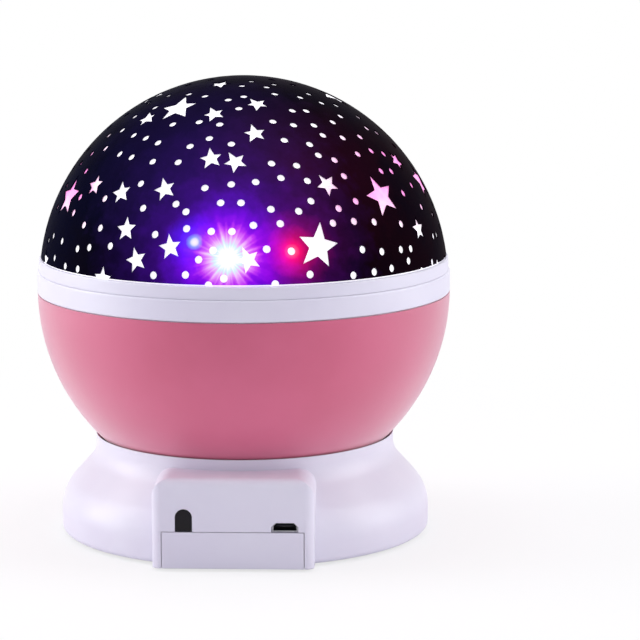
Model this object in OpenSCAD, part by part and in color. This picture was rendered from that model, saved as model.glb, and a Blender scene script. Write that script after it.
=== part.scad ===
// Star night light projector: a globe that turns on a flared pedestal.
// Millimetres, +Z up, origin on the floor under the globe's axis, socket box towards -Y.

/* [Globe] */
// Outer radius of the bowl, the lower half of the globe
bowl_r = 62.4; // [52:0.2:75]
// Wall of the bowl and of the collar
globe_wall = 2; // [1.6:0.1:2.4]
// Gap all round between the bowl and the rim of the neck
globe_gap = 0.5; // [0.3:0.1:1]
// Height of the collar, the lower band of the white ring
collar_h = 6.6; // [5:0.1:8]
// How far the collar stands out of the bowl
collar_lip = 0; // [0:0.1:1]

/* [Star dome] */
// How much smaller the printed dome is than the bowl, on the radius
dome_inset = 0.6; // [0.5:0.1:1]
// Depth of the dome's centre below its rim
dome_sink = 7.5; // [4:0.5:9]
// Wall of the clear dome
dome_wall = 1.6; // [1.2:0.1:2]
// Thickness of the dark printed film
film_t = 0.4; // [0.3:0.05:0.5]
// Height of the bezel, the upper band of the white ring
bezel_h = 3.9; // [3.5:0.1:6]
// How far the bezel is set back from the collar
bezel_step = 0.5; // [0.3:0.1:0.8]

/* [Star print] */
// Radius of a large star to its tips
star_large_r = 7.4; // [6:0.1:8.5]
// Radius of a small star to its tips
star_small_r = 4.2; // [3:0.1:5]
// Diameter of a dot
dot_d = 2.2; // [1.6:0.1:2.6]
// Spacing of the dots
dot_pitch = 7.2; // [7:0.1:12]

/* [Base] */
// Outer radius of the base
base_r = 56; // [53:0.1:67.2]
// Wall of the base
base_wall = 2; // [1.6:0.1:2.4]
// Height of the base's upright wall
drum_h = 6.3; // [4:0.1:8]
// Radius of the rounded shoulder, where the height leaves room for it
shoulder_r = 14; // [8:0.5:16]
// Radius of the hollow between the shoulder and the neck
hollow_r = 8; // [5:0.5:9]
// Outer radius of the neck that the bowl turns in
neck_r = 45.3; // [42:0.1:48]
// Height of the straight neck above the hollow
neck_h = 3; // [1:0.5:4]
// Thickness of the base plate
plate_t = 2; // [1.8:0.1:3]
// Gap between the base plate and the shell
plate_gap = 0.15; // [0.1:0.05:0.4]
// Height of the rubber feet below the base plate
foot_h = 0.8; // [0.5:0.1:2]
// Radius of a rubber foot
foot_r = 4; // [3:0.1:4.5]

/* [Socket box] */
// Width of the box
box_w = 47; // [45:0.1:57]
// How far the box's face stands in front of the base
box_proud = 1; // [0.5:0.1:3]
// Height of the box's top above the lower edge of the base
box_h = 26.4; // [24:0.1:27]
// Radius of the box's two upper corners
box_round = 5.5; // [4:0.1:6]
// Rounding of the edges of the box's face
box_edge = 2.6; // [1:0.1:4]
// Width of the lower face panel, which belongs to the base plate
tab_w = 41.2; // [38:0.1:42]
// Height of the lower face panel
tab_h = 10.9; // [9:0.1:12]
// Width of the arched remote control window
window_w = 5; // [4:0.1:6]
// Height of the window
window_h = 6.7; // [5:0.1:8]
// Distance of the window from the middle of the box
window_x = 14.2; // [10:0.1:16]
// Width of the charging port
port_w = 7.8; // [7.4:0.1:9]
// Height of the charging port
port_h = 2.8; // [2.6:0.1:3.4]
// Distance of the port from the middle of the box
port_x = 15.1; // [10:0.1:15.5]

/* [Drive] */
// Module of the gear teeth
gear_module = 0.8; // [0.7:0.05:0.85]
// Teeth on the gear under the turntable
gear_teeth = 44; // [40:2:48]
// Teeth on the motor's pinion
pinion_teeth = 16; // [14:2:18]
// Face width of the gear
gear_h = 3.5; // [2.5:0.1:4.5]
// Play between two teeth in mesh
backlash = 0.2; // [0.1:0.05:0.3]
// Outer radius of the fixed lamp post in the middle
post_r = 4; // [3.4:0.1:4.8]
// Wall of the turntable's tube
hub_wall = 2.9; // [2.4:0.1:3.4]
// Running gap of the turntable on the post and in the deck
running_gap = 0.08; // [0.05:0.01:0.1]
// Radius of the geared motor
motor_r = 10; // [8:0.5:11]
// Direction of the motor from the axis
motor_angle = 200; // [190:1:205]

/* [Lamp] */
// Radius of the circle that the four lamps stand on
lamp_circle = 15; // [13:0.5:16]
// Turn of the four lamps away from the box
lamp_turn = 15; // [0:1:45]
// Diameter of a lamp
lamp_d = 5; // [4:0.1:5.5]
// Height of a lamp above its board
lamp_h = 8.6; // [7:0.1:10]
// Radius of the lamp board
lamp_board_r = 19.5; // [18.5:0.1:22]

/* [Power and sound] */
// Diameter of a battery cell
cell_d = 10.5; // [10:0.1:11]
// Length of a battery cell
cell_l = 44.5; // [40:0.5:45]
// Number of battery cells, side by side
cell_count = 3; // [2:1:3]
// Radius of the speaker
speaker_r = 12; // [10:0.5:12]

/* [Buttons] */
// Diameter of a push button
button_d = 8; // [6:0.1:8.4]
// Distance between two buttons
button_pitch = 12.5; // [12:0.5:14]
// How far a button stands out of the base
button_proud = 1.2; // [1:0.1:2]
// How far a button can be pressed in
button_travel = 0.8; // [0.5:0.1:0.9]

/* [Hidden] */
$fn = 96;

white = "#e9e5f4";
pink = "#d8849f";
dark = "#160a24";
steel = "#b9bcc2";
board_green = "#1f6b3c";

eps = 0.5;               // overrun of a cutter past the face that it opens
fit_gap = 0.1;           // gap round a piece that is held in a seat
thread_gap = 0.03;       // gap round a screw's thread
seat_gap = 0.05;         // gap under a piece that rests and turns or lifts
board_t = 1.6;           // thickness of the large circuit boards
post_wall = 1.4;         // wall of the lamp post
small_shank = 0.9;       // shank radius of the small screws
base_shank = 1.3;        // shank radius of the four screws in the base
base_shank_l = 9;        // shank length of the four screws in the base
base_sink = 1.2;         // depth of their countersunk seats
seat_pad = 1.1;          // height of the pads round a hub screw
lug_r = 3.4;             // radius of the motor's ears and of the screw bosses in the base
socket_wall = 2.1;       // wall of the sockets that hold the post

// Heights from the floor up: each level rests on the one before it.
base_z = foot_h;
plate_z = base_z + plate_t;
cell_lift = 0.6;
bay_wall = 1;
cell_gap = 0.2;
cell_z = plate_z + cell_lift + cell_d / 2;
bay_z = cell_z + cell_d / 2 + cell_gap + bay_wall;
hub_z = bay_z + 0.5;
clip_t = 0.7;
clip_z = hub_z + 0.6;
gear_z = clip_z + clip_t + fit_gap;
gear_top = gear_z + gear_h;
bearing_z = gear_top + 0.2;
deck_z = bearing_z + 0.8;
deck_top = deck_z + base_wall;
bearing_top = deck_top + 1;
washer_t = 0.5;
flange_z = bearing_top + washer_t + seat_gap;
flange_t = 1.4;
floor_z = flange_z + flange_t;
neck_cover = 4;          // how deep the bowl's floor lies below the rim of the neck
neck_z = floor_z + neck_cover;
globe_z = neck_z + sqrt(pow(bowl_r + globe_gap, 2) - pow(neck_r, 2));
collar_drop = 0.5;        // how far the ring starts below the bowl's widest level
collar_z = globe_z - collar_drop;
bezel_z = collar_z + collar_h;
rim_z = bezel_z + bezel_h;
dome_z = rim_z - dome_sink;
lamp_z = rim_z - 1.5;

// Outline of the base: shoulder and hollow are two arcs joined by their common tangent.
drum_z = base_z + drum_h;
hollow_z = neck_z - neck_h;
hollow_x = neck_r + hollow_r;
rise = hollow_z - drum_z;
shoulder_room = (pow(hollow_x - base_r, 2) + rise * rise - hollow_r * hollow_r)
    / (2 * (base_r - neck_r));
shoulder = min(shoulder_r, 0.95 * shoulder_room);
shoulder_x = base_r - shoulder;
tangent = atan2(rise, hollow_x - shoulder_x)
    - acos((shoulder + hollow_r) / norm([hollow_x - shoulder_x, rise]));
base_edge = 1.5;
blend = 0.004;           // how far the straight part runs inside the two arcs

// Socket box and what stands behind its face.
box_face = base_r + box_proud;
box_top = base_z + box_h;
box_back = neck_r * 0.7;
seam_z = base_z + tab_h;
room_w = tab_w + 2 * plate_gap;
main_board_l = 33;
main_board_w = 38;
main_board_y = box_face - base_wall - 0.5;
main_board_z = seam_z - board_t;
board_post_x = 15.5;
board_post_y = main_board_y - 26;
board_post_r = 3;

// Battery bay: the cells lie along X, behind the lamp post.
bay_x = cell_l / 2 + 2.35;
bay_side = 1.2;
bay_y = post_r + socket_wall + 0.3 + bay_side;
cell_pitch = cell_d + 0.4;
bay_l = cell_count * cell_pitch + 0.2;
door_lip = 1.3;
door_t = 1.1;
door_ear_r = 4;
door_screw_x = bay_x + 4.9;
door_screw_y = bay_y + bay_l / 2;
door_hinge_x = bay_x + door_lip - 0.6;
door_hinge_z = base_z + 0.8;
door_pin_r = 0.4;
door_hinge_gap = 0.9;

// Push buttons in the wall away from the box.
button_z = drum_z + 1.5;
sleeve_y = base_r - 5.55;
sleeve_t = 1.6;
button_flange = 0.7;
button_flange_t = 1;
button_stem_l = 0.6;
flange_room = button_flange_t + button_travel + 2 * fit_gap;
plunger_y = sleeve_y - fit_gap - button_flange_t - button_stem_l - button_travel - 0.1;
switch_w = 6;
switch_l = 3.5;
switch_plunger = 0.5;
button_board_t = 1;
button_board_y = plunger_y - switch_plunger - switch_l;
button_board_w = 2 * button_pitch + 14;
button_board_z = plate_z + 0.6;
button_board_h = 11;

// Speaker and screws in the base plate.
speaker_x = 36.5;
speaker_y = -2;
speaker_wall = 1.4;
grille_r = 9.5;
slot_w = 1.5;
base_screw_r = 45.5;
base_screw_angles = [30, 150, 210, 330];
foot_ring_r = 47;
foot_angles = [45, 135, 225, 315];
foot_seat = 0.6;

// Turntable, gear pair and motor.
bore_r = post_r + running_gap;
hub_r = bore_r + hub_wall;
key_r = hub_r - 0.5;
key_flat = key_r - 0.6;
bearing_r = hub_r + 3.2;
hub_screw_r = bearing_r + 3.3;
flange_r = hub_screw_r + 3.2;
pitch_r = gear_module * gear_teeth / 2;
pinion_r = gear_module * pinion_teeth / 2;
centre_distance = pitch_r + pinion_r;
motor_top = gear_z - 0.8;
motor_h = 11.6;
ear_t = 1;
ear_reach = motor_r + 3.5;
shaft_r = 1.5;
motor_x = centre_distance * cos(motor_angle);
motor_y = centre_distance * sin(motor_angle);

// Lamp post and light deck.
seat_t = 2;
seat_r = 9;
seat_ring_h = 5;
shelf_r = bowl_r - 10.3;
shelf_t = 1.2;
spigot_h = 5;
deck_t = 1.2;
deck_r = bowl_r + collar_lip - globe_wall - 2.4;
deck_screw_r = deck_r - 3.4;

// Radii of the ring and the dome.
collar_r = bowl_r + collar_lip;
bezel_r = collar_r - bezel_step;
film_rise = 0.4;         // width of the clear rim below the print
dome_r = bowl_r - dome_inset;
shell_r = dome_r - film_t;
dome_rim_r = sqrt(pow(shell_r, 2) - pow(dome_sink, 2));
dome_spigot_r = dome_rim_r - 0.6;
dome_spigot_h = bezel_h - 1;
skirt_r = collar_r - globe_wall - 0.15;
skirt_t = 1.95;
skirt_h = collar_h - shelf_t - 0.5;

// ---- shared shapes ----

// Half outline of the base, set in from its outer face.
module base_profile(inset) {
    arc_out = shoulder - inset;
    arc_in = hollow_r + inset;
    difference() {
        union() {
            translate([0, base_z]) square([base_r - inset, drum_z - base_z]);
            intersection() {
                translate([shoulder_x, drum_z]) circle(arc_out);
                translate([0, drum_z]) square(2 * base_r);
            }
            polygon([
                [0, drum_z],
                [shoulder_x, drum_z],
                [shoulder_x + (arc_out - blend) * cos(tangent), drum_z + (arc_out - blend) * sin(tangent)],
                [hollow_x - (arc_in + blend) * cos(tangent), hollow_z - (arc_in + blend) * sin(tangent)],
                [neck_r - inset, hollow_z],
                [neck_r - inset, neck_z + 1],
                [0, neck_z + 1]
            ]);
        }
        translate([hollow_x, hollow_z]) circle(arc_in);
    }
}

// Rectangle with its two far corners rounded, centred on X and standing on Y = 0.
module arched(w, h, r) {
    translate([-w / 2, 0]) square([w, h - r]);
    translate([-w / 2 + r, 0]) square([w - 2 * r, h]);
    for (x = [-w / 2 + r, w / 2 - r]) translate([x, h - r]) circle(r);
}

// Upright slot with a half round top, standing on Y = 0.
module arch(w, h) {
    translate([-w / 2, 0]) square([w, h - w / 2]);
    translate([0, h - w / 2]) circle(w / 2);
}

// Outline of the charging port, wide side down.
module port_outline(gap) {
    w = port_w / 2 - gap;
    h = port_h - gap;
    slope = 0.42 * port_h;
    polygon([[-w, 0], [w, 0], [w, h - slope], [w - slope, h], [-w + slope, h], [-w, h - slope]]);
}

// Extrudes an outline drawn in X and Z from the box's face towards +Y.
module from_face(depth) {
    translate([0, depth - box_face, 0]) rotate([90, 0, 0]) linear_extrude(depth) children();
}

// Pan head screw, its head standing on Z = 0 and its shank pointing down.
module screw(head_r, head_h, shank_r, length) {
    slot = head_r * 0.28;
    difference() {
        union() {
            cylinder(r = head_r, h = head_h * 0.5);
            translate([0, 0, head_h * 0.5]) cylinder(r1 = head_r, r2 = head_r * 0.72, h = head_h * 0.5);
            translate([0, 0, -length]) cylinder(r = shank_r, h = length);
        }
        translate([0, 0, head_h]) cube([head_r * 1.2, slot, head_h], center = true);
        translate([0, 0, head_h]) cube([slot, head_r * 1.2, head_h], center = true);
    }
}

module ring(r_out, r_in, h) {
    difference() {
        cylinder(r = r_out, h = h);
        translate([0, 0, -eps]) cylinder(r = r_in, h = h + 2 * eps);
    }
}

// Points of an involute gear whose first tooth points along +X.
function roll(a) = tan(a) * 180 / PI - a;
function half_tooth(r, pitch, teeth) =
    90 / teeth - backlash / 4 / pitch * 180 / PI
    + roll(20) - roll(acos(min(1, pitch * cos(20) / r)));
function flank(teeth, side) =
    let (
        pitch = gear_module * teeth / 2,
        root = pitch - 1.25 * gear_module,
        tip = pitch + 0.9 * gear_module,
        foot = max(root, pitch * cos(20))
    )
    [for (i = [0:5])
        let (r = i == 0 ? root : foot + (tip - foot) * (i - 1) / 4)
        [r, side * half_tooth(max(r, foot), pitch, teeth)]];
function gear_points(teeth) =
    [for (t = [0:teeth - 1], side = [-1, 1], i = [0:5])
        let (p = flank(teeth, side)[side < 0 ? i : 5 - i], a = t * 360 / teeth + p[1])
        p[0] * [cos(a), sin(a)]];

// ---- base ----

module box_body() {
    intersection() {
        translate([0, 0, base_z]) from_face(box_face - box_back) arched(box_w, box_h, box_round);
        translate([0, -box_back, base_z]) mirror([0, 1, 0])
            linear_extrude(box_h) arched(box_w, box_face - box_back, box_edge);
        translate([-box_w / 2, -box_back, base_z]) rotate([90, 0, 90]) mirror([1, 0, 0])
            linear_extrude(box_w) difference() {
                square([box_face - box_back, box_h]);
                translate([box_face - box_back - box_edge, box_h - box_edge]) difference() {
                    square(box_edge + eps);
                    circle(box_edge);
                }
            }
    }
}

module window_cut(gap, depth) {
    translate([-window_x, 0, seam_z]) from_face(depth)
        arch(window_w - 2 * gap, window_h - gap);
}

module button_places() {
    for (i = [-1:1]) translate([i * button_pitch, 0, button_z]) rotate([-90, 0, 0]) children();
}

module base_shell() {
    color(white) difference() {
        union() {
            difference() {
                union() {
                    rotate_extrude() difference() {
                        base_profile(0);
                        translate([base_r - base_edge, base_z + base_edge]) difference() {
                            translate([0, -base_edge - eps]) square(base_edge + eps);
                            circle(base_edge);
                        }
                        intersection() {
                            translate([0, globe_z]) circle(bowl_r + globe_gap);
                            translate([neck_r - base_wall - eps, deck_top]) square(neck_r);
                        }
                    }
                    box_body();
                }
                translate([0, 0, base_z - eps]) cylinder(r = base_r - base_wall, h = 2 * eps);
                rotate_extrude() intersection() {
                    base_profile(base_wall);
                    square([base_r, deck_z]);
                }
                translate([-room_w / 2, base_wall - box_face, base_z - eps])
                    cube([room_w, box_face - base_wall - box_back, deck_z - base_z + eps]);
                translate([-room_w / 2, -box_face - eps, base_z - eps])
                    cube([room_w, base_wall + 2 * eps, tab_h + eps]);
                rotate_extrude() intersection() {
                    base_profile(base_wall);
                    translate([0, deck_top]) square([base_r, neck_z]);
                }
                difference() {
                    translate([-room_w / 2, base_wall - box_face, deck_z])
                        cube([room_w, box_face - base_wall - box_back, box_top - base_wall - deck_z]);
                    rotate_extrude() base_profile(base_wall / 6);
                }
                window_cut(0, base_wall + eps);
                translate([port_x, 0, seam_z]) from_face(base_wall + eps) port_outline(0);
            }
            translate([0, 0, bearing_z]) cylinder(r = bearing_r, h = bearing_top - bearing_z);
            motor_places() translate([0, 0, motor_top]) cylinder(r = 3, h = deck_z - motor_top);
            intersection() {
                rotate_extrude() base_profile(base_wall / 2);
                union() {
                    for (a = base_screw_angles) rotate(a)
                        translate([base_screw_r, 0, plate_z]) cylinder(r = lug_r, h = deck_z);
                    button_places() translate([0, 0, sleeve_y])
                        cylinder(r = button_d / 2 + sleeve_t, h = base_r - sleeve_y);
                }
            }
        }
        translate([0, 0, bearing_z - eps])
            cylinder(r = hub_r + running_gap, h = bearing_top - bearing_z + 2 * eps);
        button_places() {
            translate([0, 0, sleeve_y - eps]) cylinder(r = button_d / 2 + fit_gap, h = base_r);
            translate([0, 0, sleeve_y - flange_room])
                cylinder(r = button_d / 2 + button_flange + fit_gap, h = flange_room);
        }
        motor_places() translate([0, 0, motor_top - eps]) cylinder(r = small_shank + thread_gap, h = 4 + eps);
        for (a = base_screw_angles) rotate(a)
            translate([base_screw_r, 0, plate_z - eps])
                cylinder(r = base_shank + thread_gap, h = base_shank_l + eps);
    }
}

module base_plate() {
    bay_floor = base_z + door_t + fit_gap;
    color(white) difference() {
        union() {
            translate([0, 0, base_z]) cylinder(r = base_r - base_wall - plate_gap, h = plate_t);
            translate([-tab_w / 2, -box_face, base_z]) cube([tab_w, box_face - box_back, plate_t]);
            translate([-tab_w / 2, -box_face, base_z]) cube([tab_w, base_wall, tab_h - plate_gap]);
            translate([-bay_x - bay_side, bay_y - bay_side, base_z])
                cube([2 * (bay_x + bay_side), bay_l + 2 * bay_side, bay_z - base_z]);
            cylinder_at(0, 0, post_r + socket_wall, bay_z - plate_z - 1.5);
            cylinder_at(door_screw_x, door_screw_y, 2.8, 5);
            cylinder_at(speaker_x, speaker_y, speaker_r + speaker_wall, 4);
            for (x = [-board_post_x, board_post_x])
                cylinder_at(x, -board_post_y, board_post_r, main_board_z - plate_z);
            for (side = [-1, 1])
                translate([side * button_board_w / 2 - 1.5, bay_y + bay_l, plate_z - eps])
                    cube([3, button_board_y + 1.5 - bay_y - bay_l, 9]);
        }
        translate([-bay_x, bay_y, base_z - eps]) cube([2 * bay_x, bay_l, bay_z - bay_wall - base_z + eps]);
        door_outline(bay_floor - base_z + eps, fit_gap, base_z - eps, door_hinge_gap);
        for (y = [bay_y - door_lip, bay_y + bay_l + door_lip])
            translate([-door_hinge_x, y - 1.5, door_hinge_z]) rotate([-90, 0, 0])
                cylinder(r = door_pin_r + fit_gap, h = 3);
        translate([door_screw_x, door_screw_y, base_z]) cylinder(r = 1.6, h = 6);
        translate([0, 0, plate_z]) cylinder(r = post_r + fit_gap / 2, h = bay_z);
        wire_notch();
        translate([speaker_x, speaker_y, plate_z]) cylinder(r = speaker_r + fit_gap, h = 5);
        for (x = [-8:4:8]) let (half = sqrt(pow(grille_r, 2) - x * x))
            translate([speaker_x + x - slot_w / 2, speaker_y - half, base_z - eps])
                cube([slot_w, 2 * half, plate_t + 2 * eps]);
        for (x = [-board_post_x, board_post_x])
            translate([x, -board_post_y, plate_z]) cylinder(r = small_shank + thread_gap, h = main_board_z);
        translate([-button_board_w / 2 - fit_gap, button_board_y - button_board_t - fit_gap, button_board_z])
            cube([button_board_w + 2 * fit_gap, button_board_t + 2 * fit_gap, 9]);
        for (a = base_screw_angles) rotate(a) translate([base_screw_r, 0, base_z - eps]) {
            cylinder(r = 1.5, h = plate_t + 2 * eps);
            cylinder(r = 2.9, h = base_sink + eps);
        }
        for (a = foot_angles) rotate(a)
            translate([foot_ring_r, 0, base_z - eps]) cylinder(r = foot_r + fit_gap / 2, h = foot_seat + eps);
    }
}

module cylinder_at(x, y, r, h) {
    translate([x, y, plate_z - eps]) cylinder(r = r, h = h + eps);
}

// Way out of the lamp post's foot for its leads, towards the main board.
module wire_notch() {
    translate([-1.5, -post_r - socket_wall - eps, plate_z + 1]) cube([3, post_r + socket_wall + eps, 5]);
}

module base_screws() {
    color(steel) for (a = base_screw_angles) rotate(a)
        translate([base_screw_r, 0, base_z + base_sink]) mirror([0, 0, 1])
            screw(2.6, 1.1, base_shank, base_shank_l);
}

module rubber_feet() {
    color("#3a3a3e") for (a = foot_angles) rotate(a) translate([foot_ring_r, 0, 0]) {
        cylinder(r1 = foot_r - 0.4, r2 = foot_r, h = 0.4);
        translate([0, 0, 0.4]) cylinder(r = foot_r, h = base_z + foot_seat - 0.4);
    }
}

// ---- electronics ----

module main_board() {
    color(board_green) difference() {
        union() {
            translate([-main_board_w / 2, -main_board_y, main_board_z])
                cube([main_board_w, main_board_l, board_t]);
            translate([-5, 12 - main_board_y, seam_z - eps]) cube([9, 7, 1.6 + eps]);
            translate([8, 14 - main_board_y, seam_z - eps]) cube([4, 5, 1.5 + eps]);
            translate([-9, 24 - main_board_y, seam_z - eps]) cylinder(r = 2.5, h = 4.5 + eps);
            translate([4, 25 - main_board_y, seam_z - eps]) cylinder(r = 2, h = 4 + eps);
        }
        for (x = [-board_post_x, board_post_x])
            translate([x, -board_post_y, main_board_z - eps]) cylinder(r = 1.2, h = board_t + 2 * eps);
    }
}

module board_screws() {
    color(steel) for (x = [-board_post_x, board_post_x])
        translate([x, -board_post_y, seam_z]) screw(1.8, 1.2, small_shank, board_t + 4);
}

module usb_socket() {
    color(steel) translate([port_x, 1, seam_z]) difference() {
        from_face(5.6) port_outline(fit_gap);
        translate([0, -eps, 0.35]) from_face(5) scale(0.88) port_outline(fit_gap);
    }
    color("#202024") translate([port_x - 2.4, 1.6 - box_face, seam_z + 1.5]) cube([4.8, 4.8, 0.5]);
}

module ir_window() {
    flange_w = window_w + 2.4;
    color("#101014") {
        translate([0, 0.3, 0]) window_cut(seat_gap, base_wall - 0.3);
        translate([-window_x, base_wall, seam_z + seat_gap]) from_face(0.8)
            arch(flange_w, window_h + 1.2);
    }
}

module ir_receiver() {
    color("#16161a") translate([-window_x, 5 - box_face, seam_z]) {
        translate([-2.8, 0, 0]) cube([5.6, 2.6, 7]);
        translate([0, 0.4, 3.8]) sphere(2.1);
    }
}

module button_board() {
    color(board_green)
        translate([-button_board_w / 2, button_board_y - button_board_t, button_board_z])
            cube([button_board_w, button_board_t, button_board_h]);
}

module tact_switches() {
    color("#2b2b30") button_places() translate([0, 0, button_board_y]) {
        translate([-switch_w / 2, -switch_w / 2, 0]) cube([switch_w, switch_w, switch_l]);
        cylinder(r = 1.75, h = switch_l + switch_plunger);
    }
}

// Push button: domed cap, stop flange and stem, pointing along +Z.
module push_button(i) {
    r = button_d / 2;
    edge = 0.9;
    face = sqrt(pow(base_r, 2) - pow(i * button_pitch, 2)) + button_proud;
    flange = sleeve_y - fit_gap - button_flange_t;
    color("#f3f1fa") translate([i * button_pitch, 0, button_z]) rotate([-90, 0, 0]) rotate_extrude() {
        translate([0, flange]) square([r, face - edge - flange]);
        translate([0, flange]) square([r - edge, face - flange]);
        translate([r - edge, face - edge]) circle_quarter(edge);
        translate([0, flange]) square([r + button_flange, button_flange_t]);
        translate([0, flange - button_stem_l]) square([1.5, button_stem_l + button_flange_t]);
    }
}

module circle_quarter(r) {
    intersection() {
        circle(r);
        square(r);
    }
}

module button_left() push_button(-1);
module button_middle() push_button(0);
module button_right() push_button(1);

// ---- batteries and sound ----

module cell_places() {
    for (i = [0:cell_count - 1])
        translate([0, bay_y + 0.1 + cell_pitch * (i + 0.5), cell_z])
            rotate([0, i % 2 == 0 ? 90 : -90, 0]) children();
}

module battery_cells() {
    color("#c9a24a") cell_places() rotate_extrude() {
        translate([0, -cell_l / 2]) square([cell_d / 2, cell_l - 0.8]);
        translate([0, cell_l / 2 - 0.8]) square([1.9, 0.8]);
    }
}

module battery_contacts() {
    leaf_t = 0.3;
    gap = bay_x - cell_l / 2 - leaf_t;
    color(steel) cell_places() for (end = [0, 1]) mirror([0, 0, end]) {
        translate([-4, -4, bay_x - leaf_t]) cube([8, 8, leaf_t]);
        translate([0, 2.5, bay_x - leaf_t]) rotate([90, 0, 0]) linear_extrude(5) polygon([
            [-3, 0], [0, -gap + fit_gap], [3, 0], [3 - 2 * leaf_t, 0],
            [0, -gap + fit_gap + 1.5 * leaf_t], [-3 + 2 * leaf_t, 0]
        ]);
    }
}

// Battery door with its screw ear, as a plate of thickness t that starts edge past the hinge.
module door_outline(t, gap, z, edge) {
    translate([-door_hinge_x - edge, bay_y - door_lip - gap, z])
        cube([door_hinge_x + bay_x + door_lip + edge + gap, bay_l + 2 * (door_lip + gap), t]);
    translate([bay_x, door_screw_y - door_ear_r - gap, z])
        cube([door_screw_x - bay_x, 2 * (door_ear_r + gap), t]);
    translate([door_screw_x, door_screw_y, z]) cylinder(r = door_ear_r + gap, h = t);
}

module battery_door() {
    color(white) {
        difference() {
            door_outline(door_t, -fit_gap / 2, base_z, 0);
            translate([door_screw_x, door_screw_y, base_z - eps]) {
                cylinder(r = 1.4, h = door_t + 2 * eps);
                cylinder(r = 2.4, h = 0.6 + eps);
            }
        }
        translate([-door_hinge_x, bay_y - door_lip - 1, door_hinge_z]) rotate([-90, 0, 0])
            cylinder(r = door_pin_r, h = bay_l + 2 * door_lip + 2);
    }
}

module battery_door_screw() {
    color(steel) translate([door_screw_x, door_screw_y, base_z + 0.6]) mirror([0, 0, 1])
        screw(2.2, 0.55, 1.2, 3.2);
}

module speaker_frame() {
    color("#4a4b52") translate([speaker_x, speaker_y, plate_z]) {
        ring(speaker_r, speaker_r - 1.6, 1.2);
        translate([0, 0, 1.2]) difference() {
            cylinder(r1 = speaker_r, r2 = 6.5, h = 3);
            translate([0, 0, -0.01]) cylinder(r1 = speaker_r - 1.6, r2 = 5.2, h = 3.02);
        }
    }
}

module speaker_cone() {
    color("#222226") translate([speaker_x, speaker_y, plate_z + 0.3]) rotate_extrude() polygon([
        [0, 2.6], [2.4, 2.2], [3, 2.6], [speaker_r - 3.4, 0.4], [speaker_r - 1.7, 0.4],
        [speaker_r - 1.7, 0.8], [speaker_r - 3.2, 0.8], [3, 3.1], [0, 3.1]
    ]);
}

module speaker_magnet() {
    color("#7c7f86") translate([speaker_x, speaker_y, plate_z + 4.2]) {
        cylinder(r = 6.5, h = 0.8);
        translate([0, 0, 0.8]) cylinder(r = 5.8, h = 2.6);
    }
}

// ---- motor and lamp post ----

// The two ears of the motor, square to the line between the shafts.
module motor_places() {
    translate([motor_x, motor_y, 0]) rotate(motor_angle)
        for (side = [-1, 1]) translate([0, side * ear_reach, 0]) children();
}

module gear_motor() {
    color("#a9adb5") difference() {
        union() {
            translate([motor_x, motor_y, motor_top - motor_h]) {
                cylinder(r = motor_r - 1, h = motor_h);
                translate([0, 0, motor_h - 5]) cylinder(r = motor_r, h = 5);
            }
            translate([motor_x, motor_y, motor_top - ear_t]) rotate(motor_angle)
                translate([-lug_r, -ear_reach, 0]) cube([2 * lug_r, 2 * ear_reach, ear_t]);
            motor_places() translate([0, 0, motor_top - ear_t]) cylinder(r = lug_r, h = ear_t);
        }
        translate([motor_x, motor_y, motor_top - 5]) cylinder(r = shaft_r + running_gap, h = 5 + eps);
        motor_places() translate([0, 0, motor_top - ear_t - eps]) cylinder(r = 1.2, h = ear_t + 2 * eps);
    }
}

module motor_screws() {
    color(steel) motor_places() translate([0, 0, motor_top - ear_t]) mirror([0, 0, 1])
        screw(2.1, 1.2, small_shank, ear_t + 3.6);
}

module motor_shaft() {
    color(steel) translate([motor_x, motor_y, motor_top - 4.6])
        cylinder(r = shaft_r, h = gear_top - motor_top + 4.6);
}

module motor_pinion() {
    color("#f2efe2") translate([motor_x, motor_y, gear_z]) rotate(motor_angle + 180 + 180 / pinion_teeth)
        difference() {
            linear_extrude(gear_h) polygon(gear_points(pinion_teeth));
            translate([0, 0, -eps]) cylinder(r = shaft_r + thread_gap, h = gear_h + 2 * eps);
        }
}

module lamp_post() {
    color("#dcdde3") difference() {
        translate([0, 0, plate_z]) ring(post_r, post_r - post_wall, lamp_z - board_t - seat_t - plate_z);
        wire_notch();
    }
}

module board_seat() {
    seat_z = lamp_z - board_t - seat_t;
    color(white) difference() {
        translate([0, 0, seat_z]) {
            cylinder(r = seat_r, h = seat_t);
            translate([0, 0, -seat_ring_h]) cylinder(r = post_r + socket_wall, h = seat_ring_h);
        }
        translate([0, 0, seat_z - seat_ring_h - eps])
            cylinder(r = post_r + fit_gap / 2, h = seat_ring_h + eps);
        translate([0, 0, seat_z - eps]) cylinder(r = post_r - post_wall, h = seat_t + 2 * eps);
        lamp_board_holes() translate([0, 0, seat_z + seat_t - 1.8]) cylinder(r = 0.7 + thread_gap, h = 2);
    }
}

module lamp_board_holes() {
    for (side = [-1, 1]) rotate(lamp_turn) translate([side * 6.4, 0, 0]) children();
}

module lamp_board() {
    color("#f5f5f2") difference() {
        translate([0, 0, lamp_z - board_t]) ring(lamp_board_r, 1.6, board_t);
        lamp_board_holes() translate([0, 0, lamp_z - board_t - eps]) cylinder(r = 0.9, h = board_t + 2 * eps);
    }
}

module lamp_board_screws() {
    color(steel) lamp_board_holes() translate([0, 0, lamp_z]) screw(1.5, 1, 0.7, board_t + 1.6);
}

// Round lamp with its collar, standing on the board.
module lamp(i) {
    r = lamp_d / 2;
    rotate(lamp_turn + i * 90) translate([0, -lamp_circle, lamp_z]) rotate_extrude() {
        square([r + 0.4, 1]);
        square([r, lamp_h - r]);
        translate([0, lamp_h - r]) circle_quarter(r);
    }
}

module lamp_white() color("#f4f8ff") lamp(0);
module lamp_red() color("#ff3a4a") lamp(1);
module lamp_green() color("#38e070") lamp(2);
module lamp_blue() color("#3a6cff") lamp(3);

// ---- turntable ----

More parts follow.
